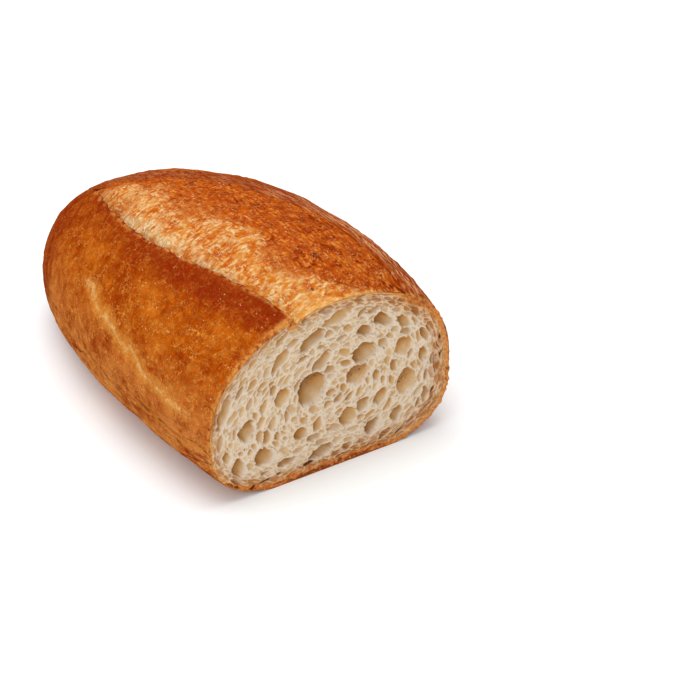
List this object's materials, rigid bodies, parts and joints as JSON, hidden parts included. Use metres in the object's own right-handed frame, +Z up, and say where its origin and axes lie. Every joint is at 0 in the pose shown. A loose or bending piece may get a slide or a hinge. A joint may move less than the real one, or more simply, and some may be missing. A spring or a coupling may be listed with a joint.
{
  "type": "cut crusty bread loaf",
  "caption": "Larger piece of a short crusty white loaf, cut straight across: open crumb, browned crust, raised ear along a wide slash.",
  "frame": {"origin": "centre of the loaf's box on its flat base", "axes": "+X along the loaf, out of the cut face; +Z up; -Y towards the side with the raised ear of the slash"},
  "size_m": [0.1884, 0.1176, 0.083],
  "materials": {
    "crust": "baked crust, satin, orange-brown with paler streaks",
    "bloom": "torn crust in the opened slash, matt, fibrous, golden",
    "crumb": "open cream-coloured crumb, matt"
  },
  "bodies": {
    "root": {"loaf": "crust"}
  },
  "joints": []
}
